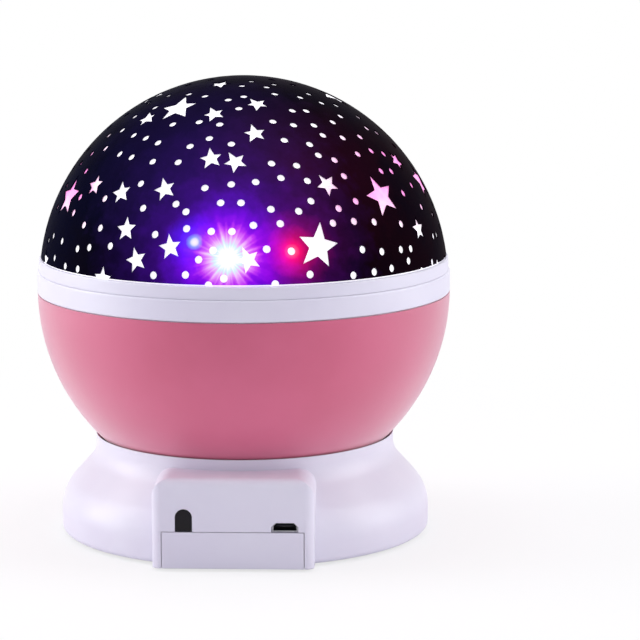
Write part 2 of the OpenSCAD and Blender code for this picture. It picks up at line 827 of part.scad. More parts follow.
module thrust_washer() {
    color("#eeeade") translate([0, 0, bearing_top]) ring(bearing_r, hub_r + 0.3, washer_t);
}

module hub_screw_places() {
    for (a = [90:120:330]) rotate(a) translate([hub_screw_r, 0, 0]) children();
}

module turntable_hub() {
    color("#eceaf2") difference() {
        union() {
            translate([0, 0, gear_top]) cylinder(r = hub_r, h = floor_z + globe_wall - gear_top);
            keyed_tube(key_r, key_flat, hub_z, gear_top - hub_z + eps);
            translate([0, 0, flange_z]) cylinder(r = flange_r, h = flange_t);
            hub_screw_places() translate([0, 0, flange_z - seat_pad]) cylinder(r = 2.5, h = seat_pad + eps);
        }
        translate([0, 0, hub_z - eps]) cylinder(r = bore_r, h = floor_z);
        translate([0, 0, clip_z - 0.05]) ring(key_r + eps, key_flat - 0.3, clip_t + 0.1);
        hub_screw_places() translate([0, 0, flange_z - seat_pad - eps])
            cylinder(r = small_shank + thread_gap, h = flange_t + seat_pad + 2 * eps);
    }
}

// Round bar with two flats, which keys the gear to the turntable's tube.
module keyed_tube(r, flat, z, h) {
    translate([0, 0, z]) intersection() {
        cylinder(r = r, h = h);
        translate([-flat, -r - eps, 0]) cube([2 * flat, 2 * (r + eps), h]);
    }
}

module hub_screws() {
    color(steel) hub_screw_places() translate([0, 0, floor_z + globe_wall])
        screw(2, 1.2, small_shank, globe_wall + flange_t + 0.9);
}

module drive_gear() {
    color("#f2efe2") difference() {
        translate([0, 0, gear_z]) rotate(motor_angle) linear_extrude(gear_h) polygon(gear_points(gear_teeth));
        keyed_tube(key_r + seat_gap, key_flat + seat_gap, gear_z - eps, gear_h + 2 * eps);
        for (a = [0:60:300]) rotate(a)
            translate([(key_r + pitch_r) / 2, 0, gear_z - eps]) cylinder(r = 2.9, h = gear_h + 2 * eps);
    }
}

module hub_clip() {
    color(steel) translate([0, 0, clip_z]) difference() {
        ring(key_r + 1.6, key_flat - 0.25, clip_t);
        translate([0, -3.5, -eps]) cube([key_r + 3, 7, clip_t + 2 * eps]);
    }
}

// ---- globe ----

module globe_bowl() {
    color(pink) difference() {
        rotate_extrude() {
            intersection() {
                difference() {
                    translate([0, globe_z]) circle(bowl_r);
                    translate([0, globe_z]) circle(bowl_r - globe_wall);
                }
                translate([0, floor_z]) square([2 * bowl_r, collar_z - floor_z]);
            }
            intersection() {
                translate([0, globe_z]) circle(bowl_r - globe_wall / 2);
                translate([0, floor_z]) square([bowl_r, globe_wall]);
            }
        }
        translate([0, 0, floor_z - eps]) cylinder(r = hub_r + fit_gap, h = globe_wall + 2 * eps);
        hub_screw_places() translate([0, 0, floor_z - eps]) cylinder(r = 1.3, h = globe_wall + 2 * eps);
    }
}

module globe_collar() {
    edge = 0.6;
    groove = 0.35;
    spigot_r = sqrt(pow(bowl_r - globe_wall, 2) - pow(spigot_h + collar_drop, 2)) - fit_gap;
    color(white) difference() {
        rotate_extrude() {
            translate([collar_r - globe_wall, collar_z + groove])
                square([globe_wall, collar_h - edge - groove]);
            translate([collar_r - globe_wall, collar_z]) square([globe_wall - edge, collar_h]);
            translate([collar_r - edge, bezel_z - edge]) circle_quarter(edge);
            translate([shelf_r, collar_z]) square([collar_r - shelf_r - edge, shelf_t]);
            translate([spigot_r - globe_wall, collar_z - spigot_h])
                square([globe_wall, spigot_h + shelf_t]);
        }
        deck_screw_places() translate([0, 0, collar_z - eps])
            cylinder(r = small_shank + thread_gap, h = shelf_t + 2 * eps);
    }
}

module deck_screw_places() {
    for (a = [30:120:270]) rotate(a) translate([deck_screw_r, 0, 0]) children();
}

// White reflector that closes the bowl under the lamp board.
module light_deck() {
    color("#f7f6fb") difference() {
        translate([0, 0, collar_z + shelf_t]) ring(deck_r, post_r + socket_wall + 2, deck_t);
        deck_screw_places() translate([0, 0, collar_z]) cylinder(r = 1.2, h = 4);
    }
}

module deck_screws() {
    color(steel) deck_screw_places() translate([0, 0, collar_z + shelf_t + deck_t])
        screw(1.9, 1.1, small_shank, deck_t + shelf_t + 1);
}

// ---- star cover ----

module dome_bezel() {
    edge = 0.4;
    foot = bezel_z + seat_gap;
    seat_r = dome_spigot_r + fit_gap;
    skirt_in = skirt_r - skirt_t;
    color(white) rotate_extrude() {
        translate([seat_r, foot]) square([bezel_r - edge - seat_r, rim_z - foot]);
        translate([seat_r, foot]) square([bezel_r - seat_r, rim_z - edge - foot]);
        translate([bezel_r - edge, rim_z - edge]) circle_quarter(edge);
        translate([skirt_in, foot]) square([bezel_r - skirt_in, rim_z - dome_spigot_h - foot - fit_gap]);
        translate([skirt_in, bezel_z - skirt_h]) square([skirt_t, skirt_h + 2 * seat_gap]);
    }
}

module dome_shell() {
    color("#d9d4ec") rotate_extrude() {
        intersection() {
            difference() {
                translate([0, dome_z]) circle(shell_r);
                translate([0, dome_z]) circle(shell_r - dome_wall);
            }
            translate([0, rim_z + seat_gap]) square(shell_r);
        }
        translate([dome_spigot_r - dome_wall, rim_z - dome_spigot_h])
            square([dome_wall, dome_spigot_h + 0.4]);
    }
}

// Stars on half of the dome: [turn from the box, height angle, turn of the star].
large_stars = [[-66, 27, 8], [-37, 62, 20], [25, 17, -12], [52, 29, 10], [85, 30, -6], [92, 64, 0]];
small_stars = [
    [-71, 8, 0], [-52, 32, 12], [-38, 7, 0], [-38, 31, 20], [-32, 21, 8], [-51, 56, 40],
    [-27, 13, 20], [-22, 33, 25], [-17, 17, 12], [-12, 60, 30], [-8, 43, 14], [1, 42, 30],
    [9, 52, 10], [13, 65, 25], [5, 14, 24], [32, 34, 28], [65, 18, 0], [73, 38, 20],
    [-28, 78, 0]
];

function unit(turn, rise) = [cos(rise) * sin(turn), -cos(rise) * cos(turn), sin(rise)];

// All stars of one size, the half pattern and its copy on the other side.
function both_halves(list) = [for (s = list, half = [0, 180]) [s[0] + half, s[1], s[2] + half / 9]];

// Rows of dots from the rim to the top, each dot shaken off its place.
dot_rise = dot_pitch / dome_r * 180 / PI;
dot_rows = floor(84 / dot_rise);
row_limit = 64;            // no row holds more dots than this
dot_shake = rands(-0.27, 0.27, 2 * dot_rows * row_limit, 11);
dot_list = [for (row = [0:dot_rows - 1])
    let (rise = 8.5 + row * dot_rise, count = max(3, round(360 * cos(rise) / dot_rise)))
    for (i = [0:count - 1])
        let (k = 2 * (row * row_limit + i))
        [(i + row / 2 + dot_shake[k]) * 360 / count, rise + dot_shake[k + 1] * dot_rise]];

// Dots that keep clear of every star.
function clear_of(dot, stars, reach) =
    let (limit = cos((reach + dot_d / 2 + 0.5) / dome_r * 180 / PI), u = unit(dot[0], dot[1]))
    len([for (s = stars) if (unit(s[0], s[1]) * u > limit) 1]) == 0;
dots = [for (d = dot_list)
    if (clear_of(d, both_halves(large_stars), star_large_r * 0.85)
        && clear_of(d, both_halves(small_stars), star_small_r * 0.85)) d];

// A five pointed star whose arms differ a little.
function star_points(r) =
    [for (i = [0:9])
        let (arm = [1, 0.86, 0.94, 0.9, 0.84][i / 2], a = 90 + i * 36)
        (i % 2 == 0 ? r * arm : r * 0.4) * [cos(a), sin(a)]];

// Stands a cutter on the dome, its top towards the pole.
module on_dome(place) {
    depth = 1.4;
    translate([0, 0, dome_z]) rotate([0, 0, place[0]]) rotate([90 - place[1], 0, 0])
        translate([0, 0, dome_r - depth]) linear_extrude(2 * depth) children();
}

module star_film() {
    color(dark) difference() {
        rotate_extrude() intersection() {
            difference() {
                translate([0, dome_z]) circle(dome_r);
                translate([0, dome_z]) circle(shell_r + 0.01);
            }
            translate([0, rim_z + film_rise]) square(dome_r);
        }
        for (s = both_halves(large_stars)) on_dome(s) rotate(s[2]) polygon(star_points(star_large_r));
        for (s = both_halves(small_stars)) on_dome(s) rotate(s[2]) polygon(star_points(star_small_r));
        for (d = dots) on_dome(d) circle(dot_d / 2, $fn = 24);
    }
}

base_shell();
base_plate();
base_screws();
rubber_feet();
main_board();
board_screws();
usb_socket();
ir_window();
ir_receiver();
button_board();
tact_switches();
button_left();
button_middle();
button_right();
battery_cells();
battery_contacts();
battery_door();
battery_door_screw();
speaker_frame();
speaker_cone();
speaker_magnet();
gear_motor();
motor_screws();
motor_shaft();
motor_pinion();
lamp_post();
board_seat();
lamp_board();
lamp_board_screws();
lamp_white();
lamp_red();
lamp_green();
lamp_blue();
thrust_washer();
turntable_hub();
hub_screws();
drive_gear();
hub_clip();
globe_bowl();
globe_collar();
light_deck();
deck_screws();
dome_bezel();
dome_shell();
star_film();
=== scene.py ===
import math

import bpy
from mathutils import Matrix, Vector


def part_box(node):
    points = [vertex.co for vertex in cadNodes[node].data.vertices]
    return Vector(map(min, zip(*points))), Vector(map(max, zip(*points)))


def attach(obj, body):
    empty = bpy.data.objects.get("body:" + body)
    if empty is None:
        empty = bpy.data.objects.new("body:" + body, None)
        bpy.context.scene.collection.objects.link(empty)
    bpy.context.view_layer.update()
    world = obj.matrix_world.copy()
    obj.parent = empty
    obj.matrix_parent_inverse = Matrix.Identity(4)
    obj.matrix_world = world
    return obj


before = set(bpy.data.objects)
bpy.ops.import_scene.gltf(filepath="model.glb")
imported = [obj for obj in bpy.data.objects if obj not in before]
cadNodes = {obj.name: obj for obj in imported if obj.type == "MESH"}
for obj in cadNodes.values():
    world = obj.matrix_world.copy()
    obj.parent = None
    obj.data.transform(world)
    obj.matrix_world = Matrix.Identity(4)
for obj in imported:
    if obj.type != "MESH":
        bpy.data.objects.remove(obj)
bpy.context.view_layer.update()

mm = 0.001


def linearColour(hexCode):
    # sRGB hex to the linear colour that a shader socket takes
    channels = [int(hexCode[i : i + 2], 16) / 255 for i in (1, 3, 5)]
    return [c / 12.92 if c <= 0.04045 else ((c + 0.055) / 1.055) ** 2.4 for c in channels] + [1.0]


def addNode(tree, kind, inputs=(), stops=(), **settings):
    # One new node: its own settings, its ramp stops, then its inputs, by name or in their order.
    # An input is a plain value, a hex colour, a socket, or a node whose first live output is linked.
    node = tree.nodes.new(kind)
    for name, value in settings.items():
        setattr(node, name, value)
    if stops:
        elements = node.color_ramp.elements
        while len(elements) < len(stops):
            elements.new(0.5)
        for element, (position, colour) in zip(elements, stops):
            element.position = position
            element.color = linearColour(colour)
    live = [socket for socket in node.inputs if socket.enabled]
    given = inputs.items() if isinstance(inputs, dict) else enumerate(inputs)
    for key, value in given:
        socket = node.inputs[key] if isinstance(key, str) else live[key]
        if isinstance(value, bpy.types.Node):
            value = next(output for output in value.outputs if output.enabled)
        if isinstance(value, bpy.types.NodeSocket):
            tree.links.new(value, socket)
        else:
            socket.default_value = linearColour(value) if isinstance(value, str) else value
    return node


def makeMaterial(name, finish, look):
    # the finish makes the shader from the place on the piece and from the look's settings
    material = bpy.data.materials.new(name)
    material.use_nodes = True
    tree = material.node_tree
    tree.nodes.clear()
    place = addNode(tree, "ShaderNodeTexCoord").outputs["Object"]
    addNode(tree, "ShaderNodeOutputMaterial", {"Surface": finish(tree, place, look)})
    return material


# stands where the photograph was taken from; it turns a little off the axis and looks slightly down
cameraSet = {
    "distance": 0.900,
    "height": 0.2180,
    "azimuth": 3.84,
    "heading": 2.375,
    "pitch": 9.712,
    "roll": -0.13,
    "lens": 168.79,
    "sensor": 36,
    "clip": (0.05, 50),
}


def photoCamera(look):
    data = bpy.data.cameras.new("photoCamera")
    data.sensor_width = look["sensor"]
    data.lens = look["lens"]
    data.clip_start, data.clip_end = look["clip"]
    camera = bpy.data.objects.new("photoCamera", data)
    bpy.context.scene.collection.objects.link(camera)
    around = math.radians(look["azimuth"])
    stand = (look["distance"] * math.sin(around), -look["distance"] * math.cos(around), look["height"])
    camera.matrix_world = (
        Matrix.Translation(stand)
        @ Matrix.Rotation(math.radians(look["heading"]), 4, "Z")
        @ Matrix.Rotation(math.radians(90 - look["pitch"]), 4, "X")
        @ Matrix.Rotation(math.radians(look["roll"]), 4, "Z")
    )
    return camera


bpy.context.scene.camera = photoCamera(cameraSet)
print("camera: set")

materials = {}

# leaning: the cosines between which an edge goes from fully worn to not worn
wornSet = {"samples": 4, "leaning": (0.7, 0.98)}


def wornEdges(tree, radius):
    # the rounded edge normal, and how far it leans away from the flat one
    edge = addNode(tree, "ShaderNodeBevel", {"Radius": radius}, samples=wornSet["samples"])
    flat = addNode(tree, "ShaderNodeNewGeometry").outputs["Normal"]
    same = addNode(tree, "ShaderNodeVectorMath", [edge, flat], operation="DOT_PRODUCT")
    return edge, addNode(tree, "ShaderNodeMapRange", [same, *wornSet["leaning"], 1.0, 0.0])


def mouldedPlastic(tree, place, look):
    # from the mould: cloudy tone, fine grain in the bump, edges rounded and rubbed pale
    cloud = addNode(
        tree, "ShaderNodeTexNoise", {"Vector": place, "Scale": 1 / look["cloudSize"], "Detail": 3.0}
    )
    grain = addNode(
        tree, "ShaderNodeTexNoise", {"Vector": place, "Scale": 1 / look["grainSize"], "Detail": 2.0}
    )
    handled = addNode(
        tree,
        "ShaderNodeTexNoise",
        {
            "Vector": place,
            "Scale": 1 / (look["handled"] * look["grainSize"]),
            "Detail": 4.0,
            "Roughness": 0.65,
        },
    )
    edge, rubbed = wornEdges(tree, look["edge"])
    tone = addNode(
        tree, "ShaderNodeValToRGB", [cloud], stops=[(0.35, look["shade"]), (0.65, look["colour"])]
    )
    paler = addNode(tree, "ShaderNodeMath", [rubbed, look["wear"]], operation="MULTIPLY")
    tone = addNode(tree, "ShaderNodeMix", [paler, tone, look["worn"]], data_type="RGBA")
    blotch = addNode(tree, "ShaderNodeMath", [cloud, handled], operation="MULTIPLY")
    rough = addNode(tree, "ShaderNodeMapRange", [blotch, *look["blotches"], *look["rough"]])
    bump = addNode(
        tree,
        "ShaderNodeBump",
        {"Height": grain, "Normal": edge, "Strength": look["grain"], "Distance": look["relief"]},
    )
    return addNode(
        tree,
        "ShaderNodeBsdfPrincipled",
        {
            "Base Color": tone,
            "Roughness": rough,
            "IOR": 1.53,
            "Specular IOR Level": look["specular"],
            "Coat Weight": look["coat"],
            "Coat Roughness": 0.12,
            "Sheen Weight": look["sheen"],
            "Sheen Roughness": 0.5,
            "Normal": bump,
        },
    )


plasticUsual = dict(
    worn="#FFFFFF", wear=0.25, specular=0.5, coat=0.0, sheen=0.0, handled=3.5, blotches=(0.12, 0.4),
    relief=0.05 * mm,
)
# Mould grain is really near 0.1 mm: each is drawn a few times coarser, so that it shows.
plasticLooks = {
    # white ABS with a lavender cast: soft wide highlights on the curves under a faint thin shine
    "pearl_abs": dict(
        colour="#E9E7F4", shade="#E5E2F1", rough=(0.36, 0.42), cloudSize=25 * mm, grainSize=0.5 * mm,
        grain=0.05, edge=0.35 * mm, coat=0.1,
    ),
    # satin pink ABS: a broad sheen towards its edges and no sharp reflection
    "pink_abs": dict(
        colour="#D65F83", shade="#D1597C", rough=(0.36, 0.46), cloudSize=30 * mm, grainSize=0.5 * mm,
        grain=0.2, edge=0.35 * mm, worn="#F3B6C8", sheen=0.7,
    ),
    # matt white ABS inside: throws the lamps' light up
    "reflector_abs": dict(
        colour="#F1EFF3", shade="#EBE8EE", rough=(0.5, 0.6), cloudSize=20 * mm, grainSize=0.4 * mm,
        grain=0.3, edge=0.2 * mm,
    ),
    # satin white ABS keys, rubbed smooth by fingers
    "key_abs": dict(
        colour="#E9E4F2", shade="#E2DDEC", rough=(0.34, 0.5), cloudSize=6 * mm, grainSize=0.3 * mm,
        grain=0.4, edge=0.3 * mm, wear=0.4,
    ),
    # white ABS tube: dull and faintly grey
    "post_abs": dict(
        colour="#DEDEE3", shade="#D5D5DB", rough=(0.4, 0.5), cloudSize=10 * mm, grainSize=0.4 * mm,
        grain=0.3, edge=0.15 * mm,
    ),
    # white acetal: waxy and a little warm
    "hub_acetal": dict(
        colour="#EFECE6", shade="#E8E5DE", rough=(0.3, 0.42), cloudSize=10 * mm, grainSize=0.4 * mm,
        grain=0.2, edge=0.2 * mm,
    ),
    # natural nylon: cream, its tooth tips paler with wear
    "gear_nylon": dict(
        colour="#EDE7D4", shade="#E3DCC6", rough=(0.4, 0.52), cloudSize=5 * mm, grainSize=0.3 * mm,
        grain=0.25, edge=0.12 * mm, wear=0.6,
    ),
    # black glass-filled nylon switches: plain satin, hardly worn
    "switch_plastic": dict(
        colour="#222226", shade="#19191C", rough=(0.42, 0.55), cloudSize=4 * mm, grainSize=0.2 * mm,
        grain=0.3, edge=0.1 * mm, wear=0.08,
    ),
    # soft rubber: dull, dusty on its rims
    "foot_rubber": dict(
        colour="#3D3D41", shade="#2F2F33", rough=(0.72, 0.88), cloudSize=3 * mm, grainSize=0.25 * mm,
        grain=0.8, edge=0.3 * mm, worn="#77777C", wear=0.4,
    ),
    # smoked acrylic: black until light grazes it
    "window_acrylic": dict(
        colour="#0C0910", shade="#08060B", rough=(0.06, 0.14), cloudSize=4 * mm, grainSize=0.5 * mm,
        grain=0.03, edge=0.4 * mm, wear=0.12, specular=0.2,
    ),
    # cast black epoxy: smooth, with a soft shine on its corners
    "receiver_epoxy": dict(
        colour="#17151C", shade="#100E14", rough=(0.2, 0.32), cloudSize=4 * mm, grainSize=0.3 * mm,
        grain=0.1, edge=0.2 * mm, wear=0.06,
    ),
    # pressed paper cone: fibrous and dull
    "speaker_paper": dict(
        colour="#2A2A2D", shade="#1B1B1E", rough=(0.82, 0.94), cloudSize=1.2 * mm, grainSize=0.3 * mm,
        grain=0.9, edge=0.1 * mm, wear=0.1,
    ),
    # sintered ferrite: charcoal with paler chipped edges
    "magnet_ferrite": dict(
        colour="#4A4847", shade="#383635", rough=(0.55, 0.7), cloudSize=2.5 * mm, grainSize=0.25 * mm,
        grain=0.5, edge=0.2 * mm, worn="#8A8886", wear=0.5,
    ),
}
for name, look in plasticLooks.items():
    materials[name] = makeMaterial(name, mouldedPlastic, plasticUsual | look)


def brushedMetal(tree, place, look):
    # drawn or turned metal: fine lines in the roughness, tone clouded by handling, bright edges
    lines = addNode(tree, "ShaderNodeMapping", {"Vector": place, "Scale": look["stretch"]})
    brushing = addNode(
        tree,
        "ShaderNodeTexNoise",
        {"Vector": lines, "Scale": 1 / look["lineWidth"], "Detail": 4.0, "Roughness": 0.7},
    )
    cloud = addNode(
        tree, "ShaderNodeTexNoise", {"Vector": place, "Scale": 1 / look["cloudSize"], "Detail": 3.0}
    )
    edge, rubbed = wornEdges(tree, look["edge"])
    tone = addNode(tree, "ShaderNodeValToRGB", [cloud], stops=[(0.3, look["shade"]), (0.7, look["colour"])])
    brighter = addNode(tree, "ShaderNodeMath", [rubbed, look["wear"]], operation="MULTIPLY")
    tone = addNode(tree, "ShaderNodeMix", [brighter, tone, look["worn"]], data_type="RGBA")
    # darker with depth into a recess: partly age, partly painted shade
    if "dark" in look:
        depth = addNode(tree, "ShaderNodeSeparateXYZ", [place]).outputs["Y"]
        darkFull = look["darkFrom"] + look["darkOver"]
        inside = addNode(tree, "ShaderNodeMapRange", [depth, look["darkFrom"], darkFull, 0.0, 1.0])
        tone = addNode(tree, "ShaderNodeMix", [inside, tone, look["dark"]], data_type="RGBA")
    bump = addNode(
        tree,
        "ShaderNodeBump",
        {"Height": brushing, "Normal": edge, "Strength": look["grain"], "Distance": look["relief"]},
    )
    return addNode(
        tree,
        "ShaderNodeBsdfPrincipled",
        {
            "Base Color": tone,
            "Roughness": addNode(tree, "ShaderNodeMapRange", [brushing, 0.3, 0.7, *look["rough"]]),
            "Metallic": 1.0,
            "Normal": bump,
        },
    )


metalUsual = dict(edge=0.12 * mm, wear=0.6, worn="#F0F0F2", grain=0.25, relief=0.02 * mm)
# Drawing lines are really near 0.02 mm: each is drawn wider, so that it shows.
metalLooks = {
    # zinc plated steel: cool grey with a faint blue bloom
    "screw_steel": dict(
        colour="#C9CCD1", shade="#A9ADB5", rough=(0.22, 0.42), lineWidth=0.12 * mm, cloudSize=0.8 * mm,
        stretch=(1, 1, 3),
    ),
    # nickel plated sheet, folded: bright at its mouth, and darker further in, partly with age and partly
    # painted shade in the recess
    "socket_steel": dict(
        colour="#B9BABD", shade="#8F9095", rough=(0.2, 0.38), lineWidth=0.15 * mm, cloudSize=1.2 * mm,
        stretch=(3, 0.4, 3), dark="#222225", darkFrom=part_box("usb_socket")[0][1] + 0.1 * mm,
        darkOver=0.3 * mm,
    ),
    # nickel plated spring steel: warm and bright
    "contact_steel": dict(
        colour="#D6D3CC", shade="#B9B5AC", rough=(0.18, 0.34), lineWidth=0.15 * mm, cloudSize=1.5 * mm,
        stretch=(1, 3, 1),
    ),
    # pressed steel basket, painted dark grey and worn at its rim
    "speaker_steel": dict(
        colour="#5A5B60", shade="#46474C", rough=(0.38, 0.5), lineWidth=0.3 * mm, cloudSize=2.5 * mm,
        stretch=(1, 1, 1),
    ),
    # deep drawn motor can: rings round its side
    "motor_can": dict(
        colour="#B6B8BD", shade="#94969C", rough=(0.2, 0.36), lineWidth=0.2 * mm, cloudSize=3 * mm,
        stretch=(0.3, 0.3, 4),
    ),
}
for name, look in metalLooks.items():
    materials[name] = makeMaterial(name, brushedMetal, metalUsual | look)


def circuitBoard(tree, place, look):
    # solder mask over copper: the tracks stand a little proud and show paler through it
    turned = addNode(tree, "ShaderNodeMapping", {"Vector": place, "Rotation": look["turn"]})
    tracks = addNode(
        tree,
        "ShaderNodeTexBrick",
        {
            "Vector": turned,
            "Color1": "#000000",
            "Color2": (0.15, 0.15, 0.15, 1),
            "Mortar": "#FFFFFF",
            "Scale": 1.0,
            "Mortar Size": look["trackWidth"],
            "Brick Width": look["trackPitch"] * 3,
            "Row Height": look["trackPitch"],
        },
    )
    weave = addNode(
        tree, "ShaderNodeTexNoise", {"Vector": place, "Scale": 1 / look["weaveSize"], "Detail": 3.0}
    )
    tone = addNode(tree, "ShaderNodeMix", [tracks, look["mask"], look["track"]], data_type="RGBA")
    cloth = addNode(tree, "ShaderNodeValToRGB", [weave], stops=[(0.3, look["mask"]), (0.7, look["track"])])
    tone = addNode(tree, "ShaderNodeMix", [look["weaveShare"], tone, cloth], data_type="RGBA")
    bump = addNode(tree, "ShaderNodeBump", {"Height": tracks, "Strength": 0.5, "Distance": look["relief"]})
    rough = addNode(tree, "ShaderNodeMapRange", [weave, 0.0, 1.0, *look["rough"]])
    return addNode(
        tree,
        "ShaderNodeBsdfPrincipled",
        {"Base Color": tone, "Roughness": rough, "IOR": 1.5, "Normal": bump},
    )


boardUsual = dict(weaveSize=0.6 * mm, weaveShare=0.25, relief=0.05 * mm, rough=(0.24, 0.4))
boardLooks = {
    # green solder mask over glass cloth: tracks paler and raised
    "circuit_board": dict(
        mask="#175031", track="#2B7A4C", turn=(0, 0, 0), trackWidth=0.16 * mm, trackPitch=1.27 * mm
    ),
    # white solder mask: its wide tracks hardly show
    "lamp_board_white": dict(
        mask="#ECECEA", track="#DADAD9", turn=(0, 0, math.radians(15)), trackWidth=0.25 * mm,
        trackPitch=2.2 * mm,
    ),
}
for name, look in boardLooks.items():
    materials[name] = makeMaterial(name, circuitBoard, boardUsual | look)

cellSet = {
    "sleeve": "#C29A3E",
    "shade": "#AD8732",
    "band": "#26262A",
    "can": "#C6C7CA",
    "sleeveEnd": 20.9 * mm,
    "bandStart": 9.0 * mm,
    "printEdge": 0.1 * mm,
    "crinkleSize": 1.6 * mm,
    "relief": 0.1 * mm,
    "rough": (0.22, 0.36),
}


def cellSleeve(tree, place, look):
    # gold printed sleeve with a dark band at the plus end, and bare steel at both ends
    axes = addNode(tree, "ShaderNodeSeparateXYZ", [place]).outputs
    low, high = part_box("battery_cells")
    middle = (low[1] + high[1]) / 2
    pitch = (high[1] - low[1]) / 3
    fromMiddle = addNode(tree, "ShaderNodeMath", [axes["Y"], middle], operation="SUBTRACT")
    outward = addNode(tree, "ShaderNodeMath", [fromMiddle], operation="ABSOLUTE")
    outer = addNode(tree, "ShaderNodeMath", [outward, pitch / 2], operation="GREATER_THAN")
    # the middle cell is turned round
    facing = addNode(tree, "ShaderNodeMapRange", [outer, 0.0, 1.0, -1.0, 1.0])
    along = addNode(tree, "ShaderNodeMath", [axes["X"], facing], operation="MULTIPLY")
    bandFull = look["bandStart"] + look["printEdge"]
    banded = addNode(tree, "ShaderNodeMapRange", [along, look["bandStart"], bandFull, 0.0, 1.0])
    reach = addNode(tree, "ShaderNodeMath", [axes["X"]], operation="ABSOLUTE")
    bareFull = look["sleeveEnd"] + look["printEdge"]
    bare = addNode(tree, "ShaderNodeMapRange", [reach, look["sleeveEnd"], bareFull, 0.0, 1.0])
    crinkle = addNode(
        tree, "ShaderNodeTexNoise", {"Vector": place, "Scale": 1 / look["crinkleSize"], "Detail": 4.0}
    )
    sleeve = addNode(
        tree, "ShaderNodeValToRGB", [crinkle], stops=[(0.3, look["shade"]), (0.7, look["sleeve"])]
    )
    printed = addNode(tree, "ShaderNodeMix", [banded, sleeve, look["band"]], data_type="RGBA")
    return addNode(
        tree,
        "ShaderNodeBsdfPrincipled",
        {
            "Base Color": addNode(tree, "ShaderNodeMix", [bare, printed, look["can"]], data_type="RGBA"),
            "Roughness": addNode(tree, "ShaderNodeMapRange", [crinkle, 0.0, 1.0, *look["rough"]]),
            "Metallic": bare,
            "Normal": addNode(
                tree, "ShaderNodeBump", {"Height": crinkle, "Strength": 0.2, "Distance": look["relief"]}
            ),
        },
    )


materials["cell_sleeve"] = makeMaterial("cell_sleeve", cellSleeve, cellSet)


def lampLens(tree, place, look):
    # clear tinted epoxy over a lit chip: brightest low down at the chip, darker towards the tip
    away = addNode(tree, "ShaderNodeVectorMath", [place, look["chip"]], operation="DISTANCE")
    swirl = addNode(
        tree, "ShaderNodeTexNoise", {"Vector": place, "Scale": 1 / look["swirlSize"], "Detail": 3.0}
    )
    near = addNode(tree, "ShaderNodeMapRange", [away, *look["lit"], 1.0, 0.0])
    glow = addNode(
        tree,
        "ShaderNodeValToRGB",
        [near],
        stops=[(0.0, look["dim"]), (0.55, look["glow"]), (1.0, look["core"])],
    )
    return addNode(
        tree,
        "ShaderNodeBsdfPrincipled",
        {
            "Base Color": addNode(
                tree, "ShaderNodeValToRGB", [swirl], stops=[(0.3, look["shade"]), (0.7, look["colour"])]
            ),
            "Roughness": addNode(tree, "ShaderNodeMapRange", [swirl, 0.0, 1.0, *look["rough"]]),
            "IOR": 1.5,
            "Coat Weight": 0.6,
            "Coat Roughness": 0.04,
            "Emission Color": glow,
            "Emission Strength": look["strength"],
        },
    )


chipHeight = 3.2 * mm
lampUsual = dict(swirlSize=0.9 * mm, lit=(2.4 * mm, 6.5 * mm), rough=(0.06, 0.14))
lampLooks = {
    # water-clear epoxy, white hot at its chip
    "lamp_white": dict(
        colour="#E6EAF4", shade="#DCE2F0", glow="#A8D8F4", core="#FFFFFF", dim="#1C2A48", strength=1.0
    ),
    # red tinted epoxy, pale pink at its chip
    "lamp_red": dict(
        colour="#D22C37", shade="#C82633", glow="#FF2030", core="#FFD0C8", dim="#6A0410", strength=1.6
    ),
    # green tinted epoxy: this lamp rests, so mostly its lens shows, with a faint painted glow
    "lamp_green": dict(
        colour="#3DB862", shade="#36AE5B", glow="#0B3A18", core="#1A5C2A", dim="#04140A", strength=0.3
    ),
    # blue tinted epoxy, pale blue at its chip
    "lamp_blue": dict(
        colour="#345CD2", shade="#2E55C9", glow="#2E66FF", core="#D0E4FF", dim="#08124E", strength=1.6
    ),
}
for name, look in lampLooks.items():
    low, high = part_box(name)
    chip = [(low[0] + high[0]) / 2, (low[1] + high[1]) / 2, low[2] + chipHeight]
    materials[name] = makeMaterial(name, lampLens, lampUsual | look | {"chip": chip})

# Lamplight painted into the thin ink as emitted glow: where each glow's middle lies on the dome, as turn
# and rise in degrees, how far it reaches, and its colours by the distance from its middle, both in
# millimetres.
glowSets = {
    # white lamp: cyan rim, magenta spokes, then violet and navy far out
    "white": dict(
        turn=-0.5, rise=14.5, reach=46.0, rays=0.17,
        colours=[
            (0.0, "#FFFFFF"), (2.5, "#FFFFFF"), (3.4, "#D8F6FF"), (4.4, "#F4C4FF"), (5.8, "#E078FC"),
            (7.4, "#BE36F6"), (9.0, "#8C10EE"), (12.0, "#6C06DA"), (16.0, "#4C08AA"), (21.0, "#32066E"),
            (28.0, "#1E0546"), (35.0, "#10032A"), (46.0, "#000000"),
        ],
    ),
    "red": dict(
        turn=17.1, rise=16.0, reach=20.0, rays=0.0,
        colours=[
            (0.0, "#FFE8E0"), (1.2, "#FF5048"), (2.4, "#F80820"), (4.4, "#BC0420"), (8.0, "#62001C"),
            (13.0, "#24000E"), (20.0, "#000000"),
        ],
    ),
    # the two hazes are painted light, standing for light that the dome scatters higher up
    "violetHaze": dict(
        turn=-10.0, rise=44.0, reach=42.0, rays=0.0,
        colours=[(0.0, "#1E0C44"), (17.0, "#140A30"), (42.0, "#000000")],
    ),
    "redHaze": dict(
        turn=24.0, rise=38.0, reach=34.0, rays=0.0,
        colours=[(0.0, "#2A0410"), (14.0, "#1C020A"), (34.0, "#000000")],
    ),
    "blue": dict(
        turn=-10.0, rise=18.6, reach=9.0, rays=0.0,
        colours=[
            (0.0, "#F0F8FF"), (0.9, "#D0E8FF"), (1.5, "#58A0FF"), (2.5, "#1828F8"), (4.6, "#160C9C"),
            (9.0, "#000000"),
        ],
    ),
}
